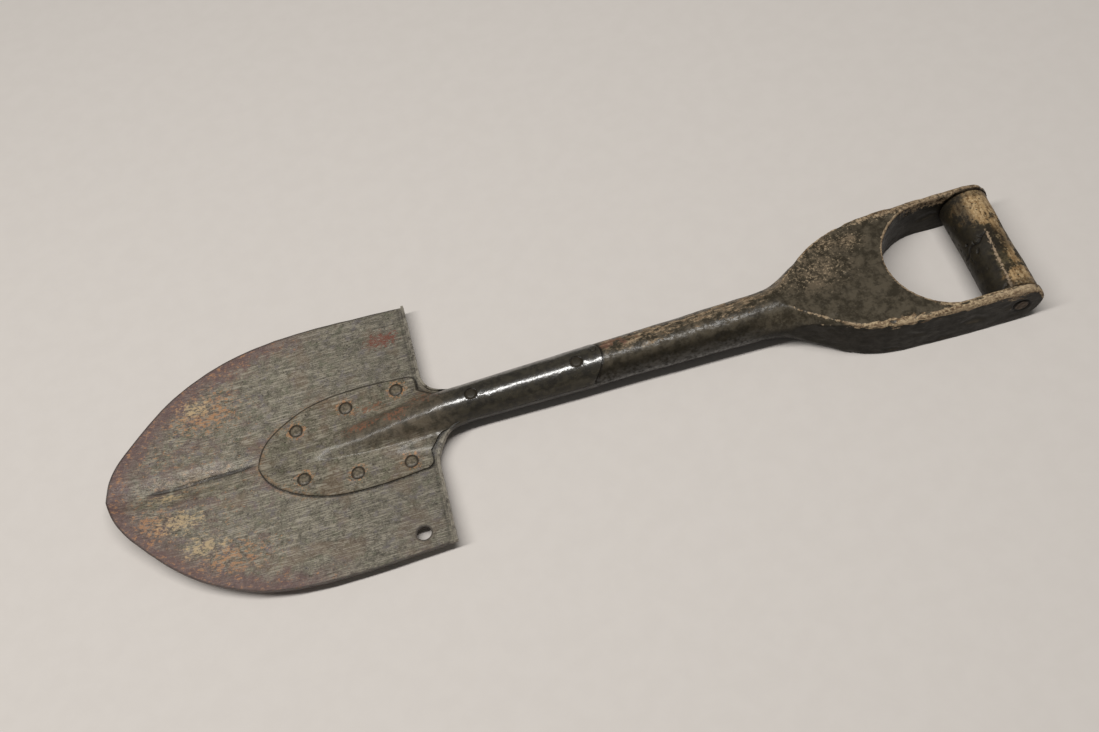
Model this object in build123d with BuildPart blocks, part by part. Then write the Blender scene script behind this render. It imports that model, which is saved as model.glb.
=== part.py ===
from build123d import *
from math import cos, pi, sqrt
import os

os.makedirs("parts", exist_ok=True)

# A short camp shovel, lying on its back: the blade points to -X, the handle to +X,
# +Z is up and z = 0 is the ground. Stations are measured from the blade's tip.

# ---- overall -------------------------------------------------------------------
LENGTH = 711.0            # tip of the blade to the back of the grip
AXIS_D = 20.0             # height of the handle's centre line in the D
AXIS_FALL = 0.0145        # the centre line falls this much per mm towards the blade
LEVEL_FROM = 520.0        # station from which the centre line is level

# ---- blade ---------------------------------------------------------------------
BLADE_LENGTH = 248.3      # tip to the rear corners
BLADE_HALF = 108.2        # half of the widest width
REAR_HALF = 105.0         # half of the width at the rear corners
SHEET = 2.0               # thickness of the blade
FLOOR = 8.8               # height of the blade's face beside the socket
TOE_RISE = 15.0           # how far the tip curls up above the floor
TOE_FROM = 135.0          # station where the toe starts to rise
DISH = 3.4                # how far the sides rise above the floor
CREASE = 5.6              # depth of the valley behind the tip
CREASE_HALF = 15.0        # half of the valley's width
LIP_HEIGHT = 2.6          # the rear edge is turned up this far
LIP_WIDTH = 2.0
NECK_RADIUS = 27.0        # fillet between the rear edge and the neck
HANG_HOLE = 11.0          # diameter of the hole in the rear corner
HANG_HOLE_AT = (225.5, -91.5)

# ---- socket and straps ---------------------------------------------------------
SOCKET_FROM = 104.0       # station where the socket's hollow begins
NECK = 276.0              # station where the sheet has become a half-round strap
STRAP = 1.8               # thickness of the straps
STRAP_END = 385.3
STRAP_OUTER = 14.5        # outside radius of the straps at the neck
STRAP_TAPER = 0.0167      # growth of that radius per mm
STRAP_CORNER = 15.5       # corner radius of the straps' ends
RAMP_WIDTH = 17.0         # the sheet climbs to the seam over this width
SEAM_GAP = 0.35           # slit between the two straps
PLATE_TIP = 114.5         # station of the front strap's tip
PLATE_HALF = 43.4         # half of its widest width
PLATE_REAR = 244.0
PLATE_REAR_HALF = 40.3

# ---- rivets --------------------------------------------------------------------
BLADE_RIVETS = [(228.0, 32.0), (187.3, 28.7), (146.8, 21.3)]
STRAP_RIVETS = [284.0, 366.0]
STRAP_RIVET_Y = -2.0
RIVET_SHANK = 4.8
RIVET_HEAD = 9.4
RIVET_RISE = 0.7          # how far a head stands above the plate
HEAD_SINK = 0.5           # depth of the seat around a head
STRAP_SINK = 0.9          # the same on the round of the strap
SEAT_MARGIN = 0.5         # seat radius beyond the head
BACK_HEAD = 1.0           # thickness of the heads on the back
NAIL_AT = (380.8, 5.0)
NAIL_HEAD = 4.6
NAIL_SHANK = 2.2
NAIL_LENGTH = 14.0

# ---- handle --------------------------------------------------------------------
INLET = 1.4               # depth to which the straps are let into the wood
D_THICK = 40.0
D_HALF = 52.0             # half of the D's width
D_SHIFT = -0.8            # the D's outline sits this far off the centre line
OPENING_HALF = 46.0       # half of the width of the finger opening
OPENING_FROM = 608.0      # station of the opening's closed end
GRIP_AT = 690.6           # station of the grip's centre line
GRIP_DIA = 38.4
ROD_AT = 693.5            # station of the rod: a little behind the grip's centre
ROD_Z = 19.0              # and a little below it
ROD_DIA = 8.0
ROD_HEAD = 13.2
ROD_HEAD_THICK = 2.0


def st(station):
    """X of a station."""
    return station - LENGTH / 2


def smooth(u):
    """0 below u = 0, 1 above u = 1, an even S between."""
    u = min(max(u, 0.0), 1.0)
    return u * u * (3 - 2 * u)


def axis_z(s):
    """Height of the handle's centre line."""
    return AXIS_D - AXIS_FALL * max(0.0, LEVEL_FROM - s)


def strap_outer(s):
    return STRAP_OUTER + STRAP_TAPER * (s - NECK)


def strap_inner(s):
    return strap_outer(s) - STRAP


def wood_radius(s):
    return strap_inner(s) + INLET


def strap_seat(s):
    """Height of the flat seat under a strap rivet's head."""
    return axis_z(s) + sqrt(strap_outer(s) ** 2 - STRAP_RIVET_Y**2) - STRAP_SINK


def nail_seat():
    x, y = NAIL_AT
    return axis_z(x) + sqrt(strap_outer(x) ** 2 - y**2) - STRAP_SINK


# ---- shape of the pressed sheet ------------------------------------------------
def socket_half(s):
    """Half-width of the socket's hollow, or of the valley ahead of it."""
    hollow = strap_inner(NECK) * sqrt(max(0.05, 1 - ((NECK - s) / 165.0) ** 2))
    blend = smooth((s - 105.0) / 45.0)
    return CREASE_HALF * (1 - blend) + hollow * blend


def socket_depth(s):
    """Depth of the hollow below its edges."""
    shallow = 0.089 * (s - SOCKET_FROM)
    deep = strap_inner(NECK) - 0.0615 * (NECK - s)
    valley = CREASE * max(0.0, 1 - ((s - 48.0) / 66.0) ** 2) ** 0.8
    return max(0.0, min(shallow, deep)) + valley


def socket_rise(s):
    """Height of the front strap's bulge above the hollow's edges."""
    return strap_inner(NECK) * max(0.0, 1 - (max(0.0, NECK - s) / 131.0) ** 1.7)


def face_z(s, y):
    """Height of the blade's face outside the hollow."""
    toe = TOE_RISE * max(0.0, 1 - s / TOE_FROM) ** 2
    dish = DISH * (y / BLADE_HALF) ** 2
    ramp = (axis_z(NECK) - FLOOR) * smooth((s - 172.0) / (NECK - 172.0))
    beside = max(0.0, abs(y) - socket_half(s)) / RAMP_WIDTH
    return FLOOR + toe + dish + ramp * (1 - smooth(beside))


def seam_z(s):
    return face_z(s, socket_half(s))


def round_share(s):
    """0 where the hollow is a soft valley, 1 where it is round."""
    return smooth((s - 120.0) / 50.0)


def hollow(s, u, depth):
    """Depth at the fraction u of the hollow's half-width."""
    soft = (1 + cos(pi * u)) / 2
    full = sqrt(max(0.0, 1 - u * u))
    share = round_share(s)
    return depth * (soft * (1 - share) + full * share)


FLANKS = [112.0, 90.0, 68.0, 50.0, 39.0, 30.0, 22.5]
ROUND = [0.97, 0.86, 0.66, 0.36]


def mirrored(half):
    """A list of (y, z) from the outer edge to the middle, continued to the other edge."""
    return half + [(-y, z) for y, z in reversed(half[:-1])]


def sheet_face(s, lift=0.0):
    """Upper outline of the blade's section at a station."""
    edge = socket_half(s)
    half = [(y, face_z(s, y) + lift) for y in FLANKS]
    half += [(edge + d, face_z(s, edge + d) + lift) for d in (4.5, 1.3, 0.0)]
    half += [(u * edge, seam_z(s) + lift - hollow(s, u, socket_depth(s))) for u in ROUND]
    half.append((0.0, seam_z(s) + lift - socket_depth(s)))
    return mirrored(half)


def sheet_back(s, drop=SHEET):
    """Lower outline of the blade's section at a station."""
    edge = socket_half(s)
    outer = edge + drop
    share = round_share(s)
    half = [(y, face_z(s, y) - drop) for y in FLANKS]
    half.append((outer + 2.6, face_z(s, outer + 2.6) - drop))
    for u in (0.93, 0.8, 0.62, 0.36, 0.0):
        soft = seam_z(s) - hollow(s, u, socket_depth(s)) - drop
        full = seam_z(s) - (socket_depth(s) + drop) * sqrt(1 - u * u)
        half.append((u * outer, soft * (1 - share) + full * share))
    return mirrored(half)


def bulge(s, u, rise, thickness):
    """Height of the front strap above the seam at the fraction u of its half-width."""
    share = smooth(rise / 8.0)
    soft = thickness + rise * (1 + cos(pi * u)) / 2
    full = (rise + thickness) * sqrt(max(0.0, 1 - u * u))
    return soft * (1 - share) + full * share


def plate_face(s):
    """Upper outline of the front strap's section at a station."""
    outer = socket_half(s) + STRAP
    half = [(y, face_z(s, y) + STRAP) for y in (60.0, 50.0, 39.0, 30.0, 22.5)]
    half += [(outer + d, face_z(s, outer + d) + STRAP) for d in (4.0, 1.0)]
    half += [(u * outer, seam_z(s) + bulge(s, u, socket_rise(s), STRAP)) for u in (0.95, 0.8, 0.6, 0.3)]
    half.append((0.0, seam_z(s) + socket_rise(s) + STRAP))
    return mirrored(half)


def plate_back(s):
    """Lower outline of the same section; beside the hollow it dips into the blade."""
    edge = socket_half(s)
    half = [(y, face_z(s, y) - 0.8) for y in (60.0, 50.0, 39.0, 30.0, 22.5)]
    half += [(edge + d, face_z(s, edge + d) - 0.8) for d in (5.0, 1.5)]
    half += [(u * edge, seam_z(s) + bulge(s, u, socket_rise(s), 0.0)) for u in (0.98, 0.86, 0.62, 0.3)]
    half.append((0.0, seam_z(s) + socket_rise(s)))
    return mirrored(half)


def spacing(points):
    """Running length along a list of points, as fractions of the whole."""
    total = [0.0]
    for (y0, z0), (y1, z1) in zip(points, points[1:]):
        total.append(total[-1] + sqrt((y1 - y0) ** 2 + (z1 - z0) ** 2))
    return [length / total[-1] for length in total]


# every section of a part shares the spacing of one typical section, so that the
# lofted faces stay smooth along the blade
TYPICAL = 200
SHEET_SPACING = (spacing(sheet_face(TYPICAL)), spacing(sheet_back(TYPICAL)))
PLATE_SPACING = (spacing(plate_face(TYPICAL)), spacing(plate_back(TYPICAL)))


def closed_section(s, upper, lower, spacings):
    """Sketch of a section between two outlines, in the YZ plane at a station."""
    with BuildSketch(Plane.YZ.offset(st(s))) as section:
        with BuildLine():
            add(Edge.make_spline([Vector(*p) for p in upper], parameters=spacings[0]))
            Line(upper[-1], lower[-1])
            add(Edge.make_spline([Vector(*p) for p in lower], parameters=spacings[1]))
            Line(lower[0], upper[0])
        make_face()
    return section.sketch


def half_ring(s, side):
    """Half of a strap's ring at a station; side is +1 above the seam, -1 below it."""
    height = SEAM_GAP if side > 0 else 0.0
    with BuildSketch(Plane.YZ.offset(st(s))) as ring:
        with Locations((0, axis_z(s))):
            Circle(strap_outer(s))
            Circle(strap_inner(s), mode=Mode.SUBTRACT)
        with Locations((0, axis_z(s) + height)):
            align = Align.MIN if side > 0 else Align.MAX
            Rectangle(60, 40, align=(Align.CENTER, align), mode=Mode.INTERSECT)
    return ring.sketch


def strap_outline():
    """Plan of a strap with its rounded end."""
    with BuildSketch() as outline:
        with Locations((st(NECK), 0)):
            Rectangle(STRAP_END - NECK, 2 * strap_outer(STRAP_END), align=(Align.MIN, Align.CENTER))
        fillet(outline.vertices().group_by(Axis.X)[-1], STRAP_CORNER)
    return outline.sketch


def blade_outline(back=0.0):
    """Plan of the blade up to the neck, optionally moved towards the tip."""
    neck_half = strap_outer(NECK)
    rear = st(BLADE_LENGTH) - back
    with BuildSketch() as outline:
        with BuildLine():
            Spline(
                (st(0), 0),
                (st(5), 17.2),
                (st(22), 43.2),
                (st(51), 72.8),
                (st(84), 93.4),
                (st(117), 104.3),
                (st(160), BLADE_HALF),
                (st(200), BLADE_HALF - 0.9),
                (rear, REAR_HALF),
                tangents=((0.12, 1), (1, -0.06)),
                tangent_scalars=(0.5, 0.5),
            )
            Line((rear, REAR_HALF), (rear, neck_half))
            Line((rear, neck_half), (st(NECK) + 20, neck_half))
            Line((st(NECK) + 20, neck_half), (st(NECK) + 20, 0))
            Line((st(NECK) + 20, 0), (st(0), 0))
        make_face()
        inner = outline.vertices().sort_by_distance((rear, neck_half, 0))[0]
        fillet(inner, NECK_RADIUS)
        mirror(about=Plane.XZ)
    return outline.sketch


# ---- straps: two half-round tongues on the wood --------------------------------
def strap(side):
    with BuildPart() as tongue:
        add(half_ring(NECK, side))
        add(half_ring(STRAP_END, side))
        loft(ruled=True)
        add(strap_outline())
        extrude(amount=60, both=True, mode=Mode.INTERSECT)
    return tongue.part


upper_strap = strap(+1)
lower_strap = strap(-1)


# ---- blade: one sheet, pressed to a dish and a socket, drawn out into a strap ----
BLADE_STATIONS = [-4, 14, 34, 58, 82, 104, 124, 144, 166, 188, 210, 230, 247, 262, NECK]

with BuildPart() as lip:
    for s in (225, 240, 252, 264, NECK):
        add(closed_section(s, sheet_face(s, LIP_HEIGHT), sheet_back(s, SHEET / 2), SHEET_SPACING))
    loft()
    with BuildSketch():
        add(blade_outline())
        add(blade_outline(LIP_WIDTH), mode=Mode.SUBTRACT)
        with Locations((st(BLADE_LENGTH - LIP_WIDTH), 0)):
            Rectangle(25, 2 * REAR_HALF, align=(Align.MIN, Align.CENTER), mode=Mode.INTERSECT)
    extrude(amount=60, both=True, mode=Mode.INTERSECT)

with BuildPart() as blade:
    for s in BLADE_STATIONS:
        add(closed_section(s, sheet_face(s), sheet_back(s), SHEET_SPACING))
    loft()
    add(blade_outline())
    extrude(amount=60, both=True, mode=Mode.INTERSECT)
    add(lip.part)
    add(lower_strap)
    with Locations((st(HANG_HOLE_AT[0]), HANG_HOLE_AT[1], 0)):
        Cylinder(HANG_HOLE / 2, 60, mode=Mode.SUBTRACT)
    with Locations(*[(st(x), side * y, 0) for x, y in BLADE_RIVETS for side in (1, -1)]):
        Cylinder(RIVET_SHANK / 2, 60, mode=Mode.SUBTRACT)
    with Locations(*[(st(x), STRAP_RIVET_Y, 0) for x in STRAP_RIVETS]):
        Cylinder(RIVET_SHANK / 2, 60, mode=Mode.SUBTRACT)

blade.part.label = "blade"
export_step(blade.part, "parts/blade.step")


# ---- front strap: a riveted plate that bulges over the wood into the upper strap -
def plate_outline():
    """Plan of the front strap from its tip to the neck."""
    neck_half = strap_outer(NECK)
    with BuildSketch() as outline:
        with BuildLine():
            Spline(
                (st(PLATE_TIP), 0),
                (st(118.5), 11.8),
                (st(130), 24.6),
                (st(146), 34.2),
                (st(168), 41.2),
                (st(196), PLATE_HALF),
                (st(222), PLATE_HALF - 1.0),
                (st(PLATE_REAR), PLATE_REAR_HALF),
                tangents=((0, 1), (1, -0.1)),
                tangent_scalars=(0.5, 0.5),
            )
            Line((st(PLATE_REAR), PLATE_REAR_HALF), (st(PLATE_REAR), 27))
            Line((st(PLATE_REAR), 27), (st(PLATE_REAR + 10), neck_half + 3))
            Line((st(PLATE_REAR + 10), neck_half + 3), (st(NECK) + 4, neck_half))
            Line((st(NECK) + 4, neck_half), (st(NECK) + 4, 0))
            Line((st(NECK) + 4, 0), (st(PLATE_TIP), 0))
        make_face()
        corner = outline.vertices().sort_by_distance((st(PLATE_REAR), PLATE_REAR_HALF, 0))[0]
        fillet(corner, 6)
        inner = outline.vertices().sort_by_distance((st(PLATE_REAR + 10), neck_half + 3, 0))[0]
        fillet(inner, 10)
        mirror(about=Plane.XZ)
    return outline.sketch


PLATE_STATIONS = [108, 124, 140, 152, 166, 184, 204, 226, 246, 262, NECK]

with BuildPart() as front_strap:
    for s in PLATE_STATIONS:
        add(closed_section(s, plate_face(s), plate_back(s), PLATE_SPACING))
    loft()
    add(plate_outline())
    extrude(amount=60, both=True, mode=Mode.INTERSECT)
    add(blade.part, mode=Mode.SUBTRACT)
    add(upper_strap)
    for x, y in BLADE_RIVETS:
        with Locations((st(x), y, 0), (st(x), -y, 0)):
            Cylinder(RIVET_SHANK / 2, 60, mode=Mode.SUBTRACT)
        seat = face_z(x, y) + STRAP - HEAD_SINK
        with Locations((st(x), y, seat), (st(x), -y, seat)):
            Cylinder(
                RIVET_HEAD / 2 + SEAT_MARGIN,
                20,
                align=(Align.CENTER, Align.CENTER, Align.MIN),
                mode=Mode.SUBTRACT,
            )
    for x in STRAP_RIVETS:
        with Locations((st(x), STRAP_RIVET_Y, axis_z(x))):
            Cylinder(RIVET_SHANK / 2, 60, mode=Mode.SUBTRACT)
        with Locations((st(x), STRAP_RIVET_Y, strap_seat(x))):
            Cylinder(
                RIVET_HEAD / 2 + SEAT_MARGIN,
                20,
                align=(Align.CENTER, Align.CENTER, Align.MIN),
                mode=Mode.SUBTRACT,
            )
    with Locations((st(NAIL_AT[0]), NAIL_AT[1], axis_z(NAIL_AT[0]))):
        Cylinder(NAIL_SHANK / 2, 60, mode=Mode.SUBTRACT)
    with Locations((st(NAIL_AT[0]), NAIL_AT[1], nail_seat())):
        Cylinder(
            NAIL_HEAD / 2 + 0.3,
            20,
            align=(Align.CENTER, Align.CENTER, Align.MIN),
            mode=Mode.SUBTRACT,
        )

front_strap.part.label = "front_strap"
export_step(front_strap.part, "parts/front_strap.step")


# ---- rivets and nail -----------------------------------------------------------
def rivet(x, y, seat, sink, back):
    """A rivet standing on end: domed head on its seat, shank, flat head at the back."""
    top = seat + sink + RIVET_RISE
    head = RIVET_HEAD / 2
    shank = RIVET_SHANK / 2
    with BuildPart() as body:
        with BuildSketch(Plane.XZ):
            with BuildLine():
                Line((0, seat + sink), (0, top))
                ThreePointArc((0, top), (head * 0.62, top - RIVET_RISE * 0.36), (head, seat + sink * 0.6))
                Line((head, seat + sink * 0.6), (head, seat))
                Line((head, seat), (shank, seat))
                Line((shank, seat), (shank, back))
                Line((shank, back), (head, back))
                Line((head, back), (head, back - BACK_HEAD * 0.5))
                Line((head, back - BACK_HEAD * 0.5), (head * 0.8, back - BACK_HEAD))
                Line((head * 0.8, back - BACK_HEAD), (0, back - BACK_HEAD))
                Line((0, back - BACK_HEAD), (0, seat + sink))
            make_face()
        revolve(axis=Axis.Z)
    return Pos(st(x), y, 0) * body.part


blade_rivets = []
for x, y in BLADE_RIVETS:
    for side in (1, -1):
        seat = face_z(x, y) + STRAP - HEAD_SINK
        blade_rivets.append(rivet(x, side * y, seat, HEAD_SINK, face_z(x, y) - SHEET - 0.15))

for number, body in enumerate(blade_rivets, start=1):
    body.label = f"blade_rivet_{number}"
    export_step(body, f"parts/blade_rivet_{number}.step")

for number, x in enumerate(STRAP_RIVETS, start=1):
    back = axis_z(x) - strap_outer(x) - 0.1
    body = rivet(x, STRAP_RIVET_Y, strap_seat(x), STRAP_SINK, back)
    body.label = f"strap_rivet_{number}"
    export_step(body, f"parts/strap_rivet_{number}.step")

with BuildPart() as strap_nail:
    with Locations((st(NAIL_AT[0]), NAIL_AT[1], nail_seat())):
        Cylinder(NAIL_HEAD / 2, STRAP_SINK + 0.25, align=(Align.CENTER, Align.CENTER, Align.MIN))
        Cylinder(NAIL_SHANK / 2, NAIL_LENGTH, align=(Align.CENTER, Align.CENTER, Align.MAX))
    fillet(strap_nail.edges().group_by(Axis.Z)[-1], 0.5)

strap_nail.part.label = "strap_nail"
export_step(strap_nail.part, "parts/strap_nail.step")


# ---- handle: shaft and D in one piece of wood ----------------------------------
def wood_circle(s, radius):
    with BuildSketch(Plane.YZ.offset(st(s))) as section:
        with Locations((0, axis_z(s))):
            Circle(radius)
    return section.sketch


def wood_end(s):
    """Section of the wood's buried end, a little smaller than the socket."""
    half = (socket_half(s) - 0.6) * (0.5 + 0.5 * smooth(socket_rise(s) / 8.0))
    with BuildSketch(Plane.YZ.offset(st(s))) as section:
        with BuildLine():
            EllipticalCenterArc((0, seam_z(s)), half, max(0.6, socket_rise(s) - 0.6), 0, arc_size=180)
            EllipticalCenterArc((0, seam_z(s)), half, socket_depth(s) - 0.6, 180, arc_size=180)
        make_face()
    return section.sketch


# a bell of revolution rounds the shoulders where the shaft grows into the D
with BuildPart() as bell:
    with BuildSketch(Plane.XZ):
        with BuildLine():
            flare = Spline(
                (st(505), AXIS_D + wood_radius(505)),
                (st(515), AXIS_D + 18.6),
                (st(527.5), AXIS_D + 22.1),
                (st(541.5), AXIS_D + 29.8),
                (st(558.8), AXIS_D + 40.4),
                (st(572.5), AXIS_D + 50.0),
                tangents=((1, 0.02), (1, 0.75)),
                tangent_scalars=(0.5, 0.5),
            )
            Line(flare @ 1, (st(640), AXIS_D + 100))
            Line((st(640), AXIS_D + 100), (st(730), AXIS_D + 100))
            Line((st(730), AXIS_D + 100), (st(730), AXIS_D))
            Line((st(730), AXIS_D), (st(505), AXIS_D))
            Line((st(505), AXIS_D), flare @ 0)
        make_face()
    revolve(axis=Axis((0, 0, AXIS_D), (1, 0, 0)))

# the finger opening: half round towards the shaft, open to the grip's far side
with BuildPart() as opening:
    with BuildSketch():
        centre = st(OPENING_FROM) + OPENING_HALF
        with Locations((centre, 0)):
            Circle(OPENING_HALF)
            Rectangle(100, 2 * OPENING_HALF, align=(Align.MIN, Align.CENTER))
    extrude(amount=60, both=True)

with BuildPart() as d_end:
    with BuildSketch(Plane((0, D_SHIFT, 0))):
        with BuildLine():
            outer = Spline(
                (st(505), 19.0),
                (st(520), 20.0),
                (st(534.5), 23.0),
                (st(549.5), 30.6),
                (st(566), 40.0),
                (st(587), 47.6),
                (st(618), D_HALF - 1),
                (st(655), D_HALF),
                tangents=((1, 0), (1, 0)),
                tangent_scalars=(0.5, 0.5),
            )
            Line(outer @ 1, (st(LENGTH), D_HALF))
            Line((st(LENGTH), D_HALF), (st(LENGTH), 0))
            Line((st(LENGTH), 0), (st(505), 0))
            Line((st(505), 0), outer @ 0)
        make_face()
        mirror(about=Plane.XZ)
    extrude(amount=D_THICK)
    with BuildSketch(Plane.XZ):
        with Locations((st(LENGTH) - D_THICK / 2, AXIS_D)):
            Circle(D_THICK / 2)
            Rectangle(300, D_THICK, align=(Align.MAX, Align.CENTER))
    extrude(amount=80, both=True, mode=Mode.INTERSECT)
    add(bell.part, mode=Mode.INTERSECT)
    add(opening.part, mode=Mode.SUBTRACT)

with BuildPart() as handle:
    for s in (152, 176, 200, 226, 252, NECK):
        add(wood_end(s))
    loft()
    add(wood_circle(NECK, strap_inner(NECK)))
    add(wood_circle(372, strap_inner(372)))
    loft(ruled=True)
    add(wood_circle(372, wood_radius(372)))
    add(wood_circle(505, wood_radius(505)))
    loft(ruled=True)
    add(d_end.part)
    add(upper_strap, mode=Mode.SUBTRACT)
    add(lower_strap, mode=Mode.SUBTRACT)
    with Locations(*[(st(x), STRAP_RIVET_Y, axis_z(x)) for x in STRAP_RIVETS]):
        Cylinder(RIVET_SHANK / 2, 60, mode=Mode.SUBTRACT)
    with Locations((st(NAIL_AT[0]), NAIL_AT[1], nail_seat())):
        Cylinder(
            NAIL_SHANK / 2,
            NAIL_LENGTH,
            align=(Align.CENTER, Align.CENTER, Align.MAX),
            mode=Mode.SUBTRACT,
        )
    with Locations(Location((st(ROD_AT), 0, ROD_Z), (90, 0, 0))):
        Cylinder(ROD_DIA / 2, 2 * D_HALF + 10, mode=Mode.SUBTRACT)
    for side in (1, -1):
        seat = D_SHIFT + side * (D_HALF - ROD_HEAD_THICK / 2 + 2)
        with Locations(Location((st(ROD_AT), seat, ROD_Z), (90, 0, 0))):
            Cylinder(ROD_HEAD / 2, ROD_HEAD_THICK + 4, mode=Mode.SUBTRACT)

handle.part.label = "handle"
export_step(handle.part, "parts/handle.step")


# ---- grip: a turned bar between the arms ---------------------------------------
with BuildPart() as grip:
    with BuildSketch(Plane.XZ):
        with Locations((st(GRIP_AT), AXIS_D)):
            Circle(GRIP_DIA / 2)
        with Locations((st(ROD_AT), ROD_Z)):
            Circle(ROD_DIA / 2, mode=Mode.SUBTRACT)
    extrude(amount=OPENING_HALF, both=True)

grip.part.label = "grip"
export_step(grip.part, "parts/grip.step")


# ---- grip rod: passes through both arms and the grip, headed flush at both ends -
with BuildPart() as grip_rod:
    with BuildSketch(Plane.XZ.offset(-D_SHIFT)):
        with Locations((st(ROD_AT), ROD_Z)):
            Circle(ROD_DIA / 2)
    extrude(amount=D_HALF - ROD_HEAD_THICK / 2, both=True)
    for side in (1, -1):
        middle = D_SHIFT + side * (D_HALF - ROD_HEAD_THICK / 2)
        with Locations(Location((st(ROD_AT), middle, ROD_Z), (90, 0, 0))):
            Cylinder(ROD_HEAD / 2, ROD_HEAD_THICK)

grip_rod.part.label = "grip_rod"
export_step(grip_rod.part, "parts/grip_rod.step")
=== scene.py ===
from math import cos, radians, sin

import bmesh
import bpy
import numpy as np
from mathutils import Matrix, Vector, noise
from mathutils.kdtree import KDTree


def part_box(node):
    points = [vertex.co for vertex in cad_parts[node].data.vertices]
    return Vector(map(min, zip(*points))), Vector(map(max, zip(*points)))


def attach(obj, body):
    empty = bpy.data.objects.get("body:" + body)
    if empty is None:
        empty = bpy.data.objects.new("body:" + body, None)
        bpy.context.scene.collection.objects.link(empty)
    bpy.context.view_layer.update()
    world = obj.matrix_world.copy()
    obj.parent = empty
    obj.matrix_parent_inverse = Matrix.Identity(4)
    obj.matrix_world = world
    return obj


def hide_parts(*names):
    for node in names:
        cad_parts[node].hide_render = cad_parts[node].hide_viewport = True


# A worn camp shovel, lying on its back: the blade points to -X, the D handle to +X.
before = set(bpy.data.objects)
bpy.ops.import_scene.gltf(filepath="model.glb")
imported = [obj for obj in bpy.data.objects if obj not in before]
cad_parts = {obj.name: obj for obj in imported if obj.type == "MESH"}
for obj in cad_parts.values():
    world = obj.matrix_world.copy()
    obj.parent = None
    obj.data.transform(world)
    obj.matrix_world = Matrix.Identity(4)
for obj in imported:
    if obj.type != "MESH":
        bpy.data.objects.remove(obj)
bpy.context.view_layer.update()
MM = 0.001


# ---- camera --------------------------------------------------------------------
FOCAL_MM = 41.4            # on a 36 mm wide sensor
ELEVATION = 58.42          # degrees above the ground
AZIMUTH = -2.93            # degrees round from square on to the shovel's side
ROLL = -13.48              # the camera is held tilted
DISTANCE = 0.980           # from the aim point
AIM = Vector((-0.0085, 0.0215, 0.0))


def camera_axes(azimuth, elevation, roll):
    """Right, up and backward directions of a camera that looks down at the object."""
    forward = Vector((-sin(azimuth) * cos(elevation), cos(azimuth) * cos(elevation), -sin(elevation)))
    level = Vector((cos(azimuth), sin(azimuth), 0.0))
    upright = level.cross(forward)
    right = cos(roll) * level + sin(roll) * upright
    up = cos(roll) * upright - sin(roll) * level
    return right, up, -forward


def make_camera():
    right, up, back = camera_axes(radians(AZIMUTH), radians(ELEVATION), radians(ROLL))
    data = bpy.data.cameras.new("camera")
    data.lens = FOCAL_MM
    data.sensor_width = 36.0
    data.clip_start = 0.01
    camera = bpy.data.objects.new("camera", data)
    turn = Matrix((right, up, back)).transposed().to_4x4()
    camera.matrix_world = Matrix.Translation(AIM + back * DISTANCE) @ turn
    bpy.context.scene.collection.objects.link(camera)
    bpy.context.scene.camera = camera


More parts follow.
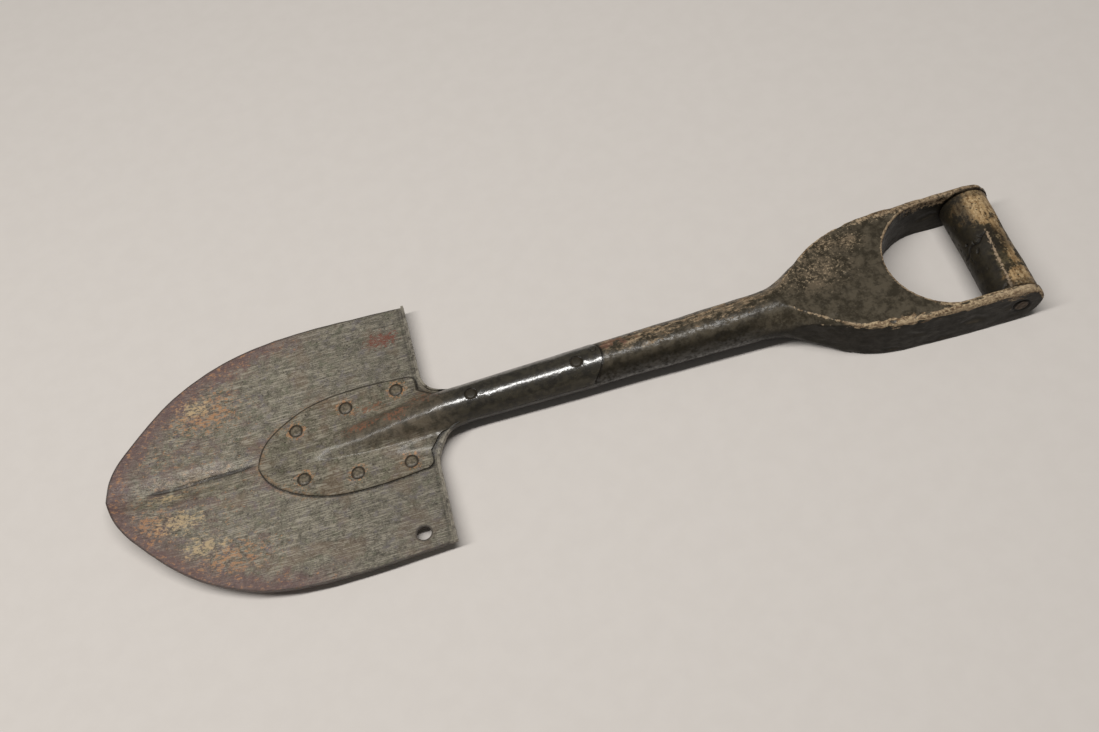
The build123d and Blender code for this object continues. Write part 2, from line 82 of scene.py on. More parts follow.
# ---- node graphs ---------------------------------------------------------------
class Graph:
    """A material and short calls that add nodes to it. A value may be a number, a colour or a socket."""

    def __init__(self, name):
        self.material = bpy.data.materials.new(name)
        self.material.use_nodes = True
        self.tree = self.material.node_tree
        self.shader = self.tree.nodes["Principled BSDF"]
        place = self.tree.nodes.new("ShaderNodeTexCoord")
        self.place = place.outputs["Object"]
        self.x, self.y, self.z = self.add("ShaderNodeSeparateXYZ", inputs=[self.place]).outputs

    def add(self, kind, settings=None, inputs=()):
        node = self.tree.nodes.new(kind)
        for key, value in (settings or {}).items():
            setattr(node, key, value)
        pairs = inputs.items() if isinstance(inputs, dict) else enumerate(inputs)
        for key, value in pairs:
            if value is None:
                continue
            socket = node.inputs[key]
            if isinstance(value, bpy.types.NodeSocket):
                self.tree.links.new(value, socket)
            elif isinstance(value, tuple) and len(value) == 3 and socket.type == "RGBA":
                socket.default_value = (*value, 1.0)
            else:
                socket.default_value = value
        return node

    def noise(self, scale, detail=4.0, rough=0.55, stretch=(1, 1, 1), turn=0.0, shift=0.0, twist=0.0):
        """Cloud pattern, about 0.2 to 0.8; scale is in features per metre."""
        mapping = self.add(
            "ShaderNodeMapping",
            inputs={
                "Vector": self.place,
                "Location": (shift, shift * 0.7, shift * 0.3),
                "Rotation": (0.0, 0.0, radians(turn)),
                "Scale": tuple(scale * s for s in stretch),
            },
        )
        node = self.add(
            "ShaderNodeTexNoise",
            inputs={
                "Vector": mapping.outputs[0],
                "Scale": 1.0,
                "Detail": detail,
                "Roughness": rough,
                "Distortion": twist,
            },
        )
        return node.outputs["Fac"]

    def cells(self, scale, stretch=(1, 1, 1), shift=0.0):
        """Distance to the nearest of many random points, 0 at a point."""
        mapping = self.add(
            "ShaderNodeMapping",
            inputs={
                "Vector": self.place,
                "Location": (shift, shift, shift),
                "Scale": tuple(scale * s for s in stretch),
            },
        )
        node = self.add("ShaderNodeTexVoronoi", inputs={"Vector": mapping.outputs[0], "Scale": 1.0})
        return node.outputs["Distance"]

    def span(self, value, low, high, to=(0.0, 1.0)):
        """Smooth step from one value to another between low and high."""
        node = self.add(
            "ShaderNodeMapRange",
            {"interpolation_type": "SMOOTHSTEP", "clamp": True},
            {"Value": value, "From Min": low, "From Max": high, "To Min": to[0], "To Max": to[1]},
        )
        return node.outputs[0]

    def math(self, operation, *values):
        return self.add("ShaderNodeMath", {"operation": operation}, list(values)).outputs[0]

    def times(self, *values):
        total = values[0]
        for value in values[1:]:
            total = self.math("MULTIPLY", total, value)
        return total

    def most(self, *values):
        total = values[0]
        for value in values[1:]:
            total = self.math("MAXIMUM", total, value)
        return total

    def spot(self, middle, radii, soft=0.55):
        """1 inside an ellipsoid round a point, 0 outside it."""
        offset = self.add("ShaderNodeVectorMath", {"operation": "SUBTRACT"}, [self.place, middle])
        scaled = self.add("ShaderNodeVectorMath", {"operation": "DIVIDE"}, [offset.outputs[0], radii])
        length = self.add("ShaderNodeVectorMath", {"operation": "LENGTH"}, [scaled.outputs[0]])
        return self.span(length.outputs["Value"], 1.0, 1.0 - soft)

    def marks(self, places, soft=0.9):
        """The strongest of several ovals: middle (behind the tip, across, up), radii, strength."""
        ovals = []
        for (back, across, up), radii, strength in places:
            oval = self.spot((TIP + back, across, up), radii, soft)
            ovals.append(self.times(oval, strength))
        return self.most(*ovals)

    def mix(self, share, first, second, mode="MIX"):
        node = self.tree.nodes.new("ShaderNodeMix")
        node.data_type = "RGBA"
        node.blend_type = mode
        sockets = {"Factor_Float": share, "A_Color": first, "B_Color": second}
        for socket in node.inputs:
            value = sockets.get(socket.identifier)
            if value is None:
                continue
            if isinstance(value, bpy.types.NodeSocket):
                self.tree.links.new(value, socket)
            elif isinstance(value, tuple):
                socket.default_value = (*value, 1.0)
            else:
                socket.default_value = value
        return next(s for s in node.outputs if s.identifier == "Result_Color")

    def attribute(self, name):
        return self.add("ShaderNodeAttribute", {"attribute_name": name}).outputs["Fac"]

    def flecks(self, region, pattern, gain, low, high):
        """Flecks of a noise pattern that grow and join where the region's value is high."""
        lifted = self.math("ADD", pattern, self.times(region, gain))
        return self.times(self.span(lifted, low, high), self.span(region, 0.0, 0.12))

    def bump(self, height, distance, strength=1.0, normal=None):
        node = self.add(
            "ShaderNodeBump",
            inputs={"Strength": strength, "Distance": distance, "Height": height, "Normal": normal},
        )
        return node.outputs[0]

    def level(self):
        """1 where the surface faces straight up, 0 where it is upright, below 0 underneath."""
        facing = self.add("ShaderNodeNewGeometry").outputs["Normal"]
        return self.add("ShaderNodeSeparateXYZ", inputs=[facing]).outputs[2]

    def gloss(self, weight, roughness, scale, distance):
        """A thin glossy layer with gentle unevenness of its own."""
        self.tree.links.new(weight, self.shader.inputs["Coat Weight"])
        self.shader.inputs["Coat Roughness"].default_value = roughness
        ripple = self.noise(scale, detail=3, rough=0.6, shift=111.0)
        self.tree.links.new(self.bump(ripple, distance), self.shader.inputs["Coat Normal"])

    def finish(self, colour, roughness, normal):
        self.tree.links.new(colour, self.shader.inputs["Base Color"])
        self.tree.links.new(roughness, self.shader.inputs["Roughness"])
        self.tree.links.new(normal, self.shader.inputs["Normal"])
        return self.material


# ---- mesh work -----------------------------------------------------------------
def node_arrays(node):
    """Vertices and triangles of a CAD node, with the vertices along its edges merged."""
    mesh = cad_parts[node].data
    verts = np.empty(len(mesh.vertices) * 3)
    mesh.vertices.foreach_get("co", verts)
    verts = verts.reshape(-1, 3)
    mesh.calc_loop_triangles()
    faces = np.empty(len(mesh.loop_triangles) * 3, dtype=np.int32)
    mesh.loop_triangles.foreach_get("vertices", faces)
    keys = np.round(verts * 1e6).astype(np.int64)
    _, first, inverse = np.unique(keys, axis=0, return_index=True, return_inverse=True)
    faces = inverse.reshape(-1)[faces].reshape(-1, 3)
    whole = (faces[:, 0] != faces[:, 1]) & (faces[:, 1] != faces[:, 2]) & (faces[:, 0] != faces[:, 2])
    return verts[first], faces[whole]


def refine(verts, faces, limit):
    """Halves every edge longer than limit(middle points) until none is left; faces stay flat."""
    for _ in range(14):
        sides = np.stack([faces[:, [0, 1]], faces[:, [1, 2]], faces[:, [2, 0]]], axis=1)
        pairs, inverse = np.unique(np.sort(sides.reshape(-1, 2), axis=1), axis=0, return_inverse=True)
        inverse = inverse.reshape(-1)
        ends = verts[pairs]
        middles = ends.mean(axis=1)
        cut = np.linalg.norm(ends[:, 0] - ends[:, 1], axis=1) > limit(middles)
        if not cut.any():
            break
        new = np.full(len(pairs), -1)
        new[cut] = len(verts) + np.arange(cut.sum())
        verts = np.concatenate([verts, middles[cut]])
        mids = new[inverse].reshape(-1, 3)
        count = (mids >= 0).sum(axis=1)
        parts = [faces[count == 0]]
        for turn in range(3):
            a, b, c = np.roll(faces, -turn, axis=1).T
            ab, bc, ca = np.roll(mids, -turn, axis=1).T
            one = (count == 1) & (ab >= 0)
            parts.append(np.stack([a, ab, c], axis=1)[one])
            parts.append(np.stack([ab, b, c], axis=1)[one])
            two = (count == 2) & (ca < 0)
            parts.append(np.stack([ab, b, bc], axis=1)[two])
            parts.append(np.stack([a, ab, bc], axis=1)[two])
            parts.append(np.stack([a, bc, c], axis=1)[two])
        a, b, c = faces[count == 3].T
        ab, bc, ca = mids[count == 3].T
        quarters = ((a, ab, ca), (ab, b, bc), (ca, bc, c), (ab, bc, ca))
        parts += [np.stack(corners, axis=1) for corners in quarters]
        faces = np.concatenate(parts)
    mesh = bpy.data.meshes.new("refined")
    mesh.from_pydata(verts.tolist(), [], faces.tolist())
    return mesh


def voxel_mesh(verts, faces, size):
    """The same solid with an even skin of small quads."""
    mesh = bpy.data.meshes.new("voxels")
    mesh.from_pydata(verts.tolist(), [], faces.tolist())
    body = bpy.data.objects.new("voxels", mesh)
    bpy.context.scene.collection.objects.link(body)
    remesh = body.modifiers.new("remesh", "REMESH")
    remesh.mode = "VOXEL"
    remesh.voxel_size = size
    even = bpy.data.meshes.new_from_object(body.evaluated_get(bpy.context.evaluated_depsgraph_get()))
    bpy.data.objects.remove(body)
    return even


def points_of(mesh):
    points = np.empty(len(mesh.vertices) * 3)
    mesh.vertices.foreach_get("co", points)
    return points.reshape(-1, 3)


def normals_of(mesh):
    normals = np.empty(len(mesh.vertices) * 3)
    mesh.vertex_normals.foreach_get("vector", normals)
    return normals.reshape(-1, 3)


def edges_of(mesh):
    edges = np.empty(len(mesh.edges) * 2, dtype=np.int32)
    mesh.edges.foreach_get("vertices", edges)
    return edges.reshape(-1, 2)


def store_points(mesh, points):
    mesh.vertices.foreach_set("co", points.reshape(-1))
    mesh.update()


def store_value(mesh, name, values):
    layer = mesh.attributes.new(name, "FLOAT", "POINT")
    layer.data.foreach_set("value", np.asarray(values, dtype=np.float32))


def neighbour_mean(values, edges):
    """Average over the vertices joined to each vertex by an edge."""
    count = len(values)
    ends = np.concatenate([edges[:, 0], edges[:, 1]])
    others = np.concatenate([edges[:, 1], edges[:, 0]])
    degree = np.maximum(np.bincount(ends, minlength=count), 1)
    if values.ndim == 1:
        return np.bincount(ends, weights=values[others], minlength=count) / degree
    columns = [np.bincount(ends, weights=values[others, k], minlength=count) / degree for k in range(3)]
    return np.stack(columns, axis=1)


def relax(points, edges, share, rounds):
    """Moves vertices towards their neighbours; share is per vertex, 0 keeps a vertex where it is."""
    for _ in range(rounds):
        points = points + (neighbour_mean(points, edges) - points) * share[:, None]
    return points


def smooth_skin(mesh, marks, rounds):
    """Smooths the facets away by moving vertices along their normals only; marked ones stay."""
    edges = edges_of(mesh)
    for _ in range(rounds):
        points, normals = points_of(mesh), normals_of(mesh)
        step = ((neighbour_mean(points, edges) - points) * normals).sum(axis=1)
        step = np.where(marks, 0.0, np.clip(step, -0.2 * MM, 0.2 * MM) * 0.5)
        store_points(mesh, points + normals * step[:, None])
    return points_of(mesh)


def sharp_vertices(mesh, degrees):
    """True at vertices on an edge whose two faces turn by more than the angle; slivers don't count."""
    shape = bmesh.new()
    shape.from_mesh(mesh)
    limit = radians(degrees)
    marks = np.zeros(len(mesh.vertices), dtype=bool)
    for edge in shape.edges:
        if edge.calc_face_angle(0.0) > limit and min(face.calc_area() for face in edge.link_faces) > 1e-8:
            marks[edge.verts[0].index] = True
            marks[edge.verts[1].index] = True
    shape.free()
    return marks


def convexity(mesh, rounds):
    """How far each vertex stands out from its surroundings, in metres."""
    points, edges = points_of(mesh), edges_of(mesh)
    around = points
    for _ in range(rounds):
        around = neighbour_mean(around, edges)
    return ((points - around) * normals_of(mesh)).sum(axis=1)


def clouds(points, size, shift=0.0):
    """Smooth random values between about -1 and 1, with features of the given size."""
    return np.array([noise.noise(Vector(p)) for p in points / size + shift]) * 1.6


def ease(values, low, high):
    """0 below low, 1 above high, an even S between; low may be the larger."""
    u = np.clip((np.asarray(values) - low) / (high - low), 0.0, 1.0)
    return u * u * (3 - 2 * u)


def nearest(points, targets):
    """Distance from each point to the nearest target."""
    tree = KDTree(len(targets))
    for index, target in enumerate(targets):
        tree.insert(target, index)
    tree.balance()
    return np.array([tree.find(point)[2] for point in points])


def distances(points, targets):
    """Distance in plan from each point to the nearest target."""
    return nearest(points * (1, 1, 0), np.array(targets) * (1, 1, 0))


def piece(name, mesh, material, slot, *replaced, sharp=None):
    """An object of the shovel that stands for CAD nodes."""
    body = bpy.data.objects.new(name, mesh)
    bpy.context.scene.collection.objects.link(body)
    mesh.materials.clear()
    mesh.materials.append(material)
    mesh.shade_smooth()
    if sharp is not None:
        mesh.set_sharp_from_angle(angle=radians(sharp))
    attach(body, "root")
    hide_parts(*replaced)
    return body


# ---- places taken from the frame -----------------------------------------------
def centre(node):
    low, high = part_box(node)
    return (Vector(low) + Vector(high)) / 2


PLATE_LOW, PLATE_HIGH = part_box("front_strap")
GRIP_LOW, GRIP_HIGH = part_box("grip")
HANDLE_LOW, HANDLE_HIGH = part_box("handle")
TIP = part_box("blade")[0][0]
BLADE_RIVETS = [f"blade_rivet_{n}" for n in range(1, 7)]
STRAP_RIVETS = ["strap_rivet_1", "strap_rivet_2"]
REAR_EDGE = TIP + 248.3 * MM
NECK = TIP + 276 * MM
CREASE_START = TIP + 14 * MM       # the fold in the valley behind the point
CREASE_END = TIP + 125 * MM
CREASE_DEPTH = 0.9 * MM
CREASE_HALF_WIDTH = 1.9 * MM
TOE_END = TIP + 150 * MM           # the paint thins from here to the point
RIM_RUST_END = TIP + 190 * MM
EARTH_START = TIP + 120 * MM       # dried earth lies along the plate's front half
EARTH_END = TIP + 215 * MM
SHADE_END = TIP + 230 * MM         # the blade is darker up to here
OILY_START = TIP + 235 * MM        # the front strap is oily and dark from here
OILY_END = TIP + 285 * MM
D_START = TIP + 525.5 * MM         # where the D's arms begin to part
HANDLE_TOP = HANDLE_HIGH[2]
BULGE_HALF_WIDTH = 27 * MM         # the front strap is a flat border outside this
STEP_LENGTH = 4 * MM               # slices along the front strap
STEP_COUNT = 80

# how fine the meshes are: longest edges, voxel sizes, and the angle that stays sharp
FINE_EDGE = 1.5 * MM
SHEET_EDGE = 3.0 * MM
STRAP_EDGE = 2.0 * MM
HEAD_EDGE = 0.6 * MM
ROD_EDGE = 6.0 * MM
ROD_HEAD_EDGE = 0.7 * MM
HEAD_REACH = 3 * MM                # a rivet is fine-meshed this far below its top
ROD_HEAD_REACH = 4 * MM
HANDLE_VOXEL = 1.0 * MM
GRIP_VOXEL = 0.75 * MM
SHEET_SHARP = 32
SKIN_ROUNDS = 6
RIVET_CLEARANCE = 6.5 * MM         # an outline point nearer to a rivet belongs to its seat


# ---- sheet steel: dents shared by the blade, the plate and their rivets ----------
def sheet_dents(points):
    """Height of the dents in the blade, the same for every part fixed to it."""
    flat = points * (1, 1, 0)
    deep = clouds(flat, 0.075) * 0.45 * MM + clouds(flat, 0.024, 7.0) * 0.16 * MM
    fine = clouds(flat, 0.009, 3.0) * 0.05 * MM
    return (deep + fine) * ease(points[:, 0], NECK + 5 * MM, NECK - 60 * MM)


def crease_groove(points):
    """A sharper fold along the bottom of the valley behind the tip."""
    x, y = points[:, 0], points[:, 1]
    along = ease(x, CREASE_START, CREASE_START + 26 * MM) * ease(x, CREASE_END, CREASE_END - 25 * MM)
    wander = 0.6 * MM + 0.032 * (x - TIP) + 0.5 * MM * np.sin((x - TIP) * 110)
    return -CREASE_DEPTH * along * np.exp(-(((y - wander) / CREASE_HALF_WIDTH) ** 2))


def bend_sheet(points, crease=True):
    moved = points.copy()
    moved[:, 2] += sheet_dents(points)
    if crease:
        moved[:, 2] += crease_groove(points)
    moved[:, 2] = np.maximum(moved[:, 2], 0.1 * MM)
    return moved


def outline_points(node):
    """Close-set points along the outline of a sheet, where its faces meet its cut sides; not round rivets."""
    verts, faces = node_arrays(node)
    corners = verts[faces]
    normal = np.cross(corners[:, 1] - corners[:, 0], corners[:, 2] - corners[:, 0])
    size = np.linalg.norm(normal, axis=1)
    level = np.abs(normal[:, 2]) / np.maximum(size, 1e-12)
    sides = np.stack([faces[:, [0, 1]], faces[:, [1, 2]], faces[:, [2, 0]]], axis=1).reshape(-1, 2)
    pairs, inverse = np.unique(np.sort(sides, axis=1), axis=0, return_inverse=True)
    owner = np.repeat(np.arange(len(faces)), 3)
    steep = np.zeros(len(pairs), dtype=bool)
    flat = np.zeros(len(pairs), dtype=bool)
    np.logical_or.at(steep, inverse.reshape(-1), (level < 0.35)[owner])
    np.logical_or.at(flat, inverse.reshape(-1), (level > 0.6)[owner])
    ends = verts[pairs[steep & flat]]
    shares = np.linspace(0, 1, 12)[:, None, None]
    points = (ends[:, 0] * (1 - shares) + ends[:, 1] * shares).reshape(-1, 3)
    keep = points[:, 0] < NECK - 4 * MM
    for rivet in BLADE_RIVETS:
        middle = centre(rivet)
        keep &= np.hypot(points[:, 0] - middle[0], points[:, 1] - middle[1]) > RIVET_CLEARANCE
    return points[keep]


def keep_inside(points, node):
    """The model may not stand outside the CAD piece's own box."""
    low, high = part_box(node)
    return np.clip(points, low, high)


def make_blade():
    verts, faces = node_arrays("blade")

    def limit(middles):
        near_crease = (np.abs(middles[:, 1]) < 11 * MM) & (middles[:, 0] < CREASE_END)
        return np.where(near_crease, FINE_EDGE, SHEET_EDGE)

    mesh = refine(verts, faces, limit)
    marks = sharp_vertices(mesh, SHEET_SHARP)
    points = smooth_skin(mesh, marks, SKIN_ROUNDS)
    wobble = clouds(points * (1, 1, 0), 0.013, 21.0) * 0.22 * MM
    wobble = wobble * ease(points[:, 0], NECK - 0.02, NECK - 0.04)
    rim = distances(points, outline_points("blade"))
    bent = bend_sheet(points)
    bent[:, 1] += wobble * ease(rim, 0.012, 0.0) * np.sign(points[:, 1])
    store_points(mesh, keep_inside(bent, "blade"))
    store_value(mesh, "rim", rim)
    store_value(mesh, "plate", distances(points, outline_points("front_strap")))
    store_value(mesh, "fold", np.clip(-crease_groove(points) / CREASE_DEPTH, 0, 1))
    piece("blade_sheet", mesh, blade_steel(), "blade_steel", "blade", sharp=SHEET_SHARP)


def height_over_flange(points):
    """How far each point of the front strap lies above the plate's flat border beside it."""
    border = np.abs(points[:, 1]) > BULGE_HALF_WIDTH
    step = np.clip(((points[:, 0] - PLATE_LOW[0]) / STEP_LENGTH).astype(int), 0, STEP_COUNT - 1)
    level = np.full(STEP_COUNT, np.nan)
    for k in range(STEP_COUNT):
        here = border & (step == k)
        if here.any():
            level[k] = np.median(points[here, 2])
    known = np.where(~np.isnan(level))[0]
    level = np.interp(np.arange(STEP_COUNT), known, level[known])
    return points[:, 2] - level[step]


def make_front_strap():
    verts, faces = node_arrays("front_strap")
    mesh = refine(verts, faces, lambda middles: STRAP_EDGE)
    marks = sharp_vertices(mesh, SHEET_SHARP)
    points = smooth_skin(mesh, marks, SKIN_ROUNDS)
    rim = distances(points, outline_points("front_strap"))
    swell = ease(height_over_flange(points), 1.5 * MM, 9 * MM)
    hammer = clouds(points, 0.014, 5.0) * 0.12 * MM * ease(rim, 0.0, 0.004)
    normals = normals_of(mesh)
    bent = bend_sheet(points, crease=False) + normals * (hammer * swell)[:, None]
    store_points(mesh, bent)
    store_value(mesh, "rim", rim)
    store_value(mesh, "swell", swell)
    axes = [centre(rivet) for rivet in BLADE_RIVETS + STRAP_RIVETS]
    store_value(mesh, "rivet", distances(points, axes))
    piece("front_strap_plate", mesh, strap_steel(), "strap_steel", "front_strap", sharp=SHEET_SHARP)


# ---- rivets ----------------------------------------------------------------------
def make_rivet(node, seed, material):
    """A hand-set head: a low dome with a flat struck in its middle, never quite round."""
    verts, faces = node_arrays(node)
    middle = centre(node)
    low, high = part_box(node)
    mesh = refine(verts, faces, lambda at: np.where(at[:, 2] > high[2] - HEAD_REACH, HEAD_EDGE, SHEET_EDGE))
    points = points_of(mesh)
    out = np.hypot(points[:, 0] - middle[0], points[:, 1] - middle[1])
    radius = (high[0] - low[0]) / 2
    head = ease(points[:, 2], high[2] - 1.6 * MM, high[2] - 0.9 * MM)
    struck = -0.22 * MM * ease(out, radius * 0.55, radius * 0.3)
    uneven = clouds(points, 0.0045, seed) * 0.1 * MM
    lean = 0.12 * MM * (points[:, 0] - middle[0]) / radius * (-1) ** seed
    if node not in BLADE_RIVETS:
        struck = -0.6 * MM * ease(out, radius * 0.66, radius)
        uneven, lean = uneven * 0.25, 0.0
    points[:, 2] += head * (struck + uneven + lean)
    squeeze = 1 + head * clouds(points, 0.006, seed + 9.0) * 0.03
    points[:, 0] = middle[0] + (points[:, 0] - middle[0]) * squeeze
    points[:, 1] = middle[1] + (points[:, 1] - middle[1]) * squeeze
    ring = ease(out, radius * 0.5, radius * 0.95)
    if node in BLADE_RIVETS:
        points = bend_sheet(points, crease=False)
    store_points(mesh, np.minimum(points, high))
    store_value(mesh, "ring", ring)
    piece(f"{node}_head", mesh, material, "rivet_steel", node, sharp=40)


# ---- handle ----------------------------------------------------------------------
def make_handle():
    verts, faces = node_arrays("handle")
    mesh = voxel_mesh(verts, faces, HANDLE_VOXEL)
    points, edges = points_of(mesh), edges_of(mesh)
    share = np.full(len(points), 0.5)
    points = relax(points, edges, share, 2)
    x, y, z = points.T
    near_side, far_side = HANDLE_LOW[1], HANDLE_HIGH[1]
    near_edge = ease(y, near_side + 16.8 * MM, near_side + 6.8 * MM) * ease(x, D_START, D_START + 50 * MM)
    near_edge = near_edge * ease(z, HANDLE_TOP - 10 * MM, HANDLE_TOP - 4 * MM)
    far_top = ease(y, far_side - 11.2 * MM, far_side - 4.2 * MM)
    far_top = far_top * ease(x, D_START + 30 * MM, D_START + 90 * MM)
    far_top = far_top * ease(z, HANDLE_TOP - 12 * MM, HANDLE_TOP - 6 * MM)
    points = relax(points, edges, 0.5 * np.maximum(near_edge, far_top * 0.7), 14)
    store_points(mesh, points)
    normals = normals_of(mesh)
    bare = ease(points[:, 0], PLATE_HIGH[0] - 2 * MM, PLATE_HIGH[0] + 6 * MM)
    dents = clouds(points, 0.035, 2.0) * 0.30 + clouds(points, 0.011, 4.0) * 0.13
    dents = dents + clouds(points, 0.0045, 8.0) * 0.05
    gouges = -np.clip(clouds(points * (0.6, 1, 1), 0.012, 15.0) - 0.62, 0, 1) * 1.6
    chips = -np.clip(clouds(points * (0.5, 1, 1), 0.0035, 11.0) - 0.1, 0, 1) * 0.5
    chips = chips * np.maximum(near_edge, far_top)
    push = (dents - 0.12 + gouges + chips) * MM * bare
    store_points(mesh, keep_inside(points + normals * push[:, None], "handle"))
    stands = convexity(mesh, 6)
    stands = neighbour_mean(stands, edges)
    store_value(mesh, "edge", np.clip(stands / (0.35 * MM), -1, 1) * 0.5 + 0.5)
    joins = np.concatenate([node_arrays(node)[0] for node in ("front_strap", "grip", "grip_rod")])
    store_value(mesh, "joint_shade", nearest(points, joins))
    store_value(mesh, "near_edge", near_edge)
    store_value(mesh, "far_top", far_top)
    piece("handle_wood", mesh, handle_wood(), "handle_wood", "handle")


# ---- grip ------------------------------------------------------------------------
# Depths and heights in millimetres; angles in degrees round the grip, 90 is straight up.
WAIST = 0.55               # worn thinner in the middle
RIDGE_HEIGHT = 0.45        # a raised line along the near half
RIDGE_ANGLE = 97
RIDGE_HALF_ANGLE = 4.0
SPLIT_DEPTH = 1.3          # a crack across the grain, over the palm side
SPLIT_PLACE = 3
SPLIT_HALF_WIDTH = 0.8


def make_grip():
    verts, faces = node_arrays("grip")
    mesh = voxel_mesh(verts, faces, GRIP_VOXEL)
    points, edges = points_of(mesh), edges_of(mesh)
    points = relax(points, edges, np.full(len(points), 0.5), 2)
    store_points(mesh, points)
    normals = normals_of(mesh)
    middle = centre("grip")
    radius = (GRIP_HIGH[2] - GRIP_LOW[2]) / 2
    along = (points[:, 1] - middle[1]) / (GRIP_HIGH[1] - middle[1])
    angle = np.degrees(np.arctan2(points[:, 2] - middle[2], points[:, 0] - middle[0]))
    skin = ease(np.hypot(points[:, 0] - middle[0], points[:, 2] - middle[2]), radius * 0.8, radius * 0.95)
    hollow = -WAIST * (1 - along**2) - 0.15
    dents = clouds(points, 0.02, 6.0) * 0.28 + clouds(points, 0.007, 1.0) * 0.12
    dents = dents + clouds(points, 0.003, 2.0) * 0.05
    ridge = RIDGE_HEIGHT * np.exp(-(((angle - RIDGE_ANGLE + 9 * along) / RIDGE_HALF_ANGLE) ** 2))
    ridge = ridge * ease(along, 0.35, 0.05)
    wave = 4 * np.sin(angle / 7) + 3 * clouds(points, 0.008, 12.0)
    off_split = points[:, 1] / MM - SPLIT_PLACE + 0.10 * (angle - 110) - wave * 0.35
    split = -SPLIT_DEPTH * np.exp(-((off_split / SPLIT_HALF_WIDTH) ** 2))
    split = split * ease(angle, 96, 108) * ease(angle, 190, 165)
    pits = -np.clip(clouds(points, 0.0032, 31.0) - 0.72, 0, 1) * 2.2
    push = (hollow + dents + ridge + split + pits) * MM * skin
    store_points(mesh, keep_inside(points + normals * push[:, None], "grip"))
    store_value(mesh, "split", np.clip(-(split + pits * 0.8), 0, 1))
    store_value(mesh, "ridge", np.clip(ridge / RIDGE_HEIGHT, 0, 1))
    stands = neighbour_mean(convexity(mesh, 4), edges)
    store_value(mesh, "edge", np.clip(stands / (0.2 * MM), -1, 1) * 0.5 + 0.5)
    piece("grip_wood", mesh, grip_wood(), "grip_wood", "grip")


def make_rod():
    """The rod's heads are rounded over, so a dark ring shows round each in the arms."""
    verts, faces = node_arrays("grip_rod")
    low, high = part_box("grip_rod")
    middle = centre("grip_rod")
    half = (high[1] - low[1]) / 2
    inner = half - ROD_HEAD_REACH
    mesh = refine(verts, faces, lambda at: np.where(np.abs(at[:, 1]) > inner, ROD_HEAD_EDGE, ROD_EDGE))
    points = points_of(mesh)
    radius = (high[0] - low[0]) / 2
    out = np.hypot(points[:, 0] - middle[0], points[:, 2] - middle[2])
    at_end = ease(np.abs(points[:, 1] - middle[1]), half - 1.2 * MM, half)
    inward = -np.sign(points[:, 1] - middle[1])
    points[:, 1] += inward * at_end * (0.1 * MM + 1.1 * MM * ease(out, radius * 0.72, radius))
    points[:, 1] += inward * at_end * np.abs(clouds(points, 0.004, 3.0)) * 0.25 * MM
    store_points(mesh, points)
    store_value(mesh, "ring", ease(out, radius * 0.6, radius))
    piece("grip_rod_heads", mesh, rod_steel(), "rod_steel", "grip_rod", sharp=50)


# ---- finishes ----------------------------------------------------------------------
OLIVE_DARK = (0.066, 0.057, 0.040)
OLIVE = (0.166, 0.148, 0.110)
OLIVE_LIGHT = (0.345, 0.302, 0.228)
BLUE_GREY = (0.172, 0.150, 0.160)
GREEN = (0.140, 0.152, 0.090)
BROWN = (0.185, 0.122, 0.078)
PALE = (0.420, 0.380, 0.300)
MAROON = (0.140, 0.078, 0.078)
RUST_RED = (0.170, 0.052, 0.030)
RUST_ORANGE = (0.480, 0.250, 0.120)
OCHRE = (0.540, 0.410, 0.240)
DIRT_AND_SHADE = (0.026, 0.021, 0.015)
BURNT = (0.075, 0.042, 0.030)
SLOPE_SHEEN = (0.480, 0.390, 0.290)
RIM_SHADE = (0.040, 0.030, 0.024)
EARTH = (0.300, 0.190, 0.110)
BACK_OIL_DARK = (0.008, 0.007, 0.005)
BACK_OIL = (0.026, 0.022, 0.015)
OIL_DARK = (0.018, 0.015, 0.010)
OIL = (0.048, 0.041, 0.027)
OIL_FLECK = (0.120, 0.090, 0.062)
BULGE_DARK = (0.058, 0.047, 0.032)
BULGE = (0.145, 0.116, 0.082)
BULGE_RED = (0.270, 0.125, 0.075)
HEAD_DARK = (0.085, 0.072, 0.050)
HEAD = (0.200, 0.165, 0.118)
HEAD_OILY = (0.022, 0.018, 0.012)
HEAD_RIM_SHADE = (0.036, 0.028, 0.019)
ROD_DARK = (0.040, 0.027, 0.017)
ROD = (0.100, 0.066, 0.040)
ROD_RIM_SHADE = (0.008, 0.006, 0.004)
PAINT_DARK = (0.038, 0.031, 0.020)
PAINT = (0.100, 0.083, 0.058)
PAINT_FLECK = (0.140, 0.120, 0.088)
SIDE_SHADE = (0.009, 0.007, 0.004)
PAINT_FADED = (0.190, 0.142, 0.095)
TAN_DARK = (0.160, 0.102, 0.058)
TAN = (0.400, 0.295, 0.190)
TAN_LIGHT = (0.580, 0.455, 0.300)
TAN_BRIGHT = (0.600, 0.465, 0.290)
WOOD_RED = (0.150, 0.060, 0.045)
CRACK = (0.010, 0.008, 0.006)
JOINT_SHADE = (0.008, 0.006, 0.004)
GRIP_TAN_DARK = (0.200, 0.116, 0.048)
GRIP_TAN = (0.520, 0.345, 0.170)
GRIP_OLIVE_DARK = (0.028, 0.021, 0.011)
GRIP_OLIVE = (0.100, 0.078, 0.040)
GRIP_DARK = (0.014, 0.011, 0.007)
GRIP_CREAM = (0.620, 0.460, 0.260)
GRIP_RIDGE = (0.420, 0.310, 0.205)
GRIP_SPLIT = (0.006, 0.004, 0.003)

